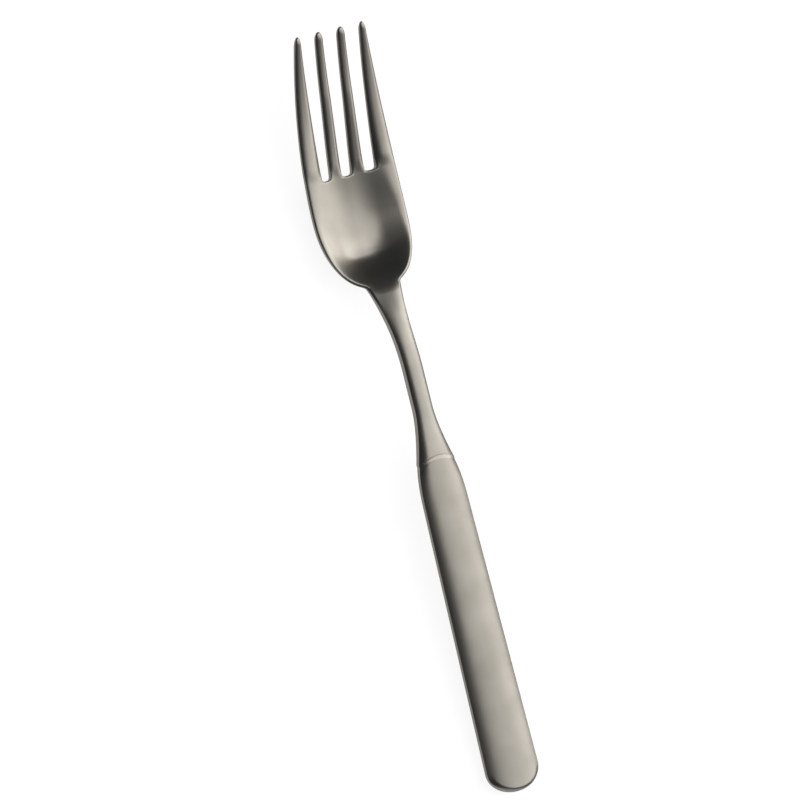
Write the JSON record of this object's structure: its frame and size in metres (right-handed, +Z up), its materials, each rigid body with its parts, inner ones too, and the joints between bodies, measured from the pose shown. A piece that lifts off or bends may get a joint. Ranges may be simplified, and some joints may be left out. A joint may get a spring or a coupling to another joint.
{
  "type": "serving fork",
  "caption": "Serving fork with long tapering tines, a shallow dished bowl, a slender bent shank and a rounded hollow handle, for lifting and passing food at table.",
  "frame": {"origin": "middle of the bounding box, on the table under the fork as it lies on its bowl and on the heel of its handle", "axes": "+Y from the butt end of the handle towards the tips, +Z up out of the hollow side of the bowl, +X to the right seen from the handle"},
  "size_m": [0.0316, 0.2392, 0.0229],
  "materials": {
    "head_steel": "fine satin, warm grey",
    "handle_steel": "fine satin, warm grey",
    "weld_steel": "weld metal, ground and satin finished",
    "cement": "cast, matt"
  },
  "bodies": {
    "root": {"fork_head": "head_steel", "handle_front_shell": "handle_steel", "handle_back_shell": "handle_steel", "seam_weld": "weld_steel", "neck_weld": "weld_steel", "handle_cement": "cement"}
  },
  "joints": []
}
